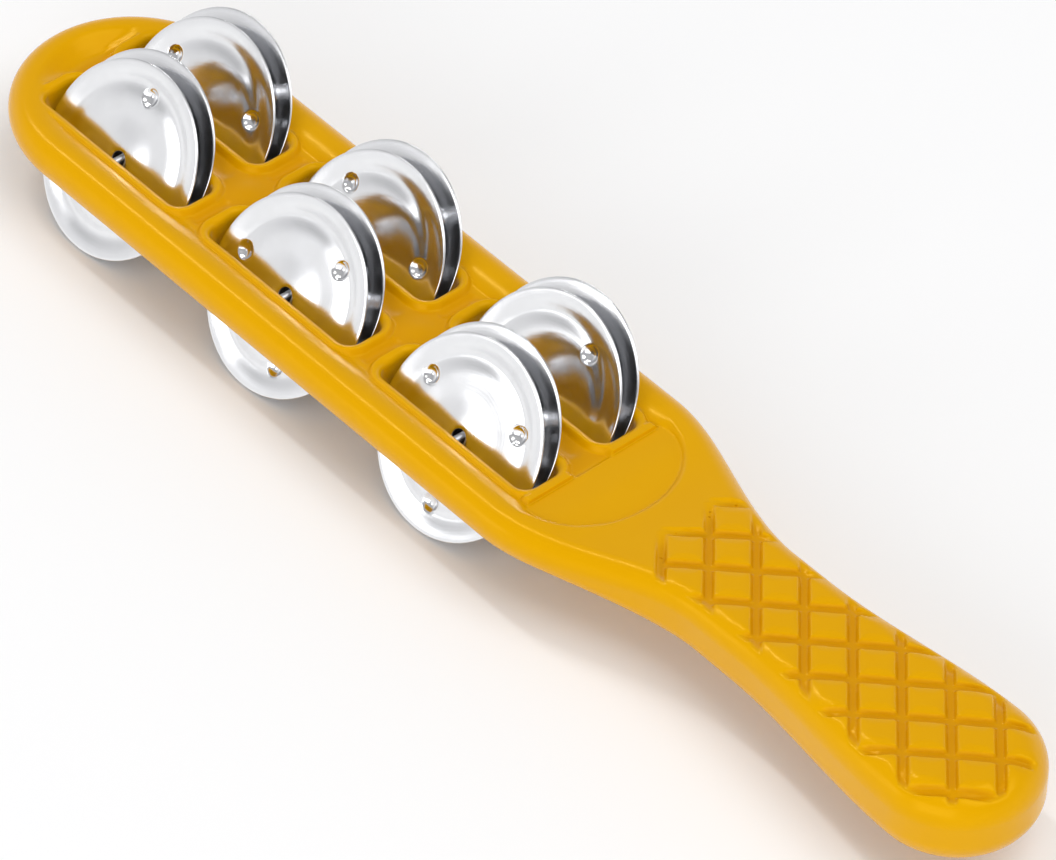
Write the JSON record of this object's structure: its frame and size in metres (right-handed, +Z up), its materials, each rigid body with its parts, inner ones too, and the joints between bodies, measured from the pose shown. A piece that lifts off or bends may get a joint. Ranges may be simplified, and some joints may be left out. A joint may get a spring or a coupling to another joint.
{
  "type": "jingle stick",
  "caption": "Hand-held jingle stick: a moulded plastic frame with a patterned handle and open slots holding loose pairs of dished steel jingles on cross pins.",
  "frame": {"origin": "middle of the bounding box at the level of the lowest jingle rims", "axes": "+X along the stick from the head to the end of the handle, +Y along the pins, +Z up through the frame's thickness"},
  "size_m": [0.278, 0.0502, 0.033],
  "materials": {
    "yellow_plastic": "moulded, semi-gloss golden yellow",
    "jingle_steel": "bright polished pressed sheet",
    "pin_steel": "plain drawn wire"
  },
  "bodies": {
    "frame": {"frame": "yellow_plastic", "pin_1": "pin_steel", "pin_2": "pin_steel", "pin_3": "pin_steel"},
    "jingle_a1_front": {"jingle_a1_front": "jingle_steel"},
    "jingle_a1_rear": {"jingle_a1_rear": "jingle_steel"},
    "jingle_a2_front": {"jingle_a2_front": "jingle_steel"},
    "jingle_a2_rear": {"jingle_a2_rear": "jingle_steel"},
    "jingle_a3_front": {"jingle_a3_front": "jingle_steel"},
    "jingle_a3_rear": {"jingle_a3_rear": "jingle_steel"},
    "jingle_b1_front": {"jingle_b1_front": "jingle_steel"},
    "jingle_b1_rear": {"jingle_b1_rear": "jingle_steel"},
    "jingle_b2_front": {"jingle_b2_front": "jingle_steel"},
    "jingle_b2_rear": {"jingle_b2_rear": "jingle_steel"},
    "jingle_b3_front": {"jingle_b3_front": "jingle_steel"},
    "jingle_b3_rear": {"jingle_b3_rear": "jingle_steel"}
  },
  "joints": [
    {"name": "rock_a1_front", "type": "hinge", "parent": "frame", "child": "jingle_a1_front", "pos_m": [-0.1033, -0.01183, 0.0165], "axis": [1, 0, 0], "range_deg": [0, 40]},
    {"name": "rock_a1_rear", "type": "hinge", "parent": "frame", "child": "jingle_a1_rear", "pos_m": [-0.1033, -0.00757, 0.0165], "axis": [1, 0, 0], "range_deg": [0, 40]},
    {"name": "rock_a2_front", "type": "hinge", "parent": "frame", "child": "jingle_a2_front", "pos_m": [-0.05215, -0.01183, 0.0165], "axis": [1, 0, 0], "range_deg": [0, 40]},
    {"name": "rock_a2_rear", "type": "hinge", "parent": "frame", "child": "jingle_a2_rear", "pos_m": [-0.05215, -0.00757, 0.0165], "axis": [1, 0, 0], "range_deg": [0, 40]},
    {"name": "rock_a3_front", "type": "hinge", "parent": "frame", "child": "jingle_a3_front", "pos_m": [-0.001, -0.01183, 0.0165], "axis": [1, 0, 0], "range_deg": [0, 40]},
    {"name": "rock_a3_rear", "type": "hinge", "parent": "frame", "child": "jingle_a3_rear", "pos_m": [-0.001, -0.00757, 0.0165], "axis": [1, 0, 0], "range_deg": [0, 40]},
    {"name": "rock_b1_front", "type": "hinge", "parent": "frame", "child": "jingle_b1_front", "pos_m": [-0.1033, 0.00757, 0.0165], "axis": [1, 0, 0], "range_deg": [0, 40]},
    {"name": "rock_b1_rear", "type": "hinge", "parent": "frame", "child": "jingle_b1_rear", "pos_m": [-0.1033, 0.01183, 0.0165], "axis": [1, 0, 0], "range_deg": [0, 40]},
    {"name": "rock_b2_front", "type": "hinge", "parent": "frame", "child": "jingle_b2_front", "pos_m": [-0.05215, 0.00757, 0.0165], "axis": [1, 0, 0], "range_deg": [0, 40]},
    {"name": "rock_b2_rear", "type": "hinge", "parent": "frame", "child": "jingle_b2_rear", "pos_m": [-0.05215, 0.01183, 0.0165], "axis": [1, 0, 0], "range_deg": [0, 40]},
    {"name": "rock_b3_front", "type": "hinge", "parent": "frame", "child": "jingle_b3_front", "pos_m": [-0.001, 0.00757, 0.0165], "axis": [1, 0, 0], "range_deg": [0, 40]},
    {"name": "rock_b3_rear", "type": "hinge", "parent": "frame", "child": "jingle_b3_rear", "pos_m": [-0.001, 0.01183, 0.0165], "axis": [1, 0, 0], "range_deg": [0, 40]}
  ],
  "couplings": [
    {"joint": "rock_a1_rear", "follows": "rock_a1_front", "ratio": 1},
    {"joint": "rock_a2_rear", "follows": "rock_a2_front", "ratio": 1},
    {"joint": "rock_a3_rear", "follows": "rock_a3_front", "ratio": 1},
    {"joint": "rock_b1_rear", "follows": "rock_b1_front", "ratio": 1},
    {"joint": "rock_b2_rear", "follows": "rock_b2_front", "ratio": 1},
    {"joint": "rock_b3_rear", "follows": "rock_b3_front", "ratio": 1}
  ]
}
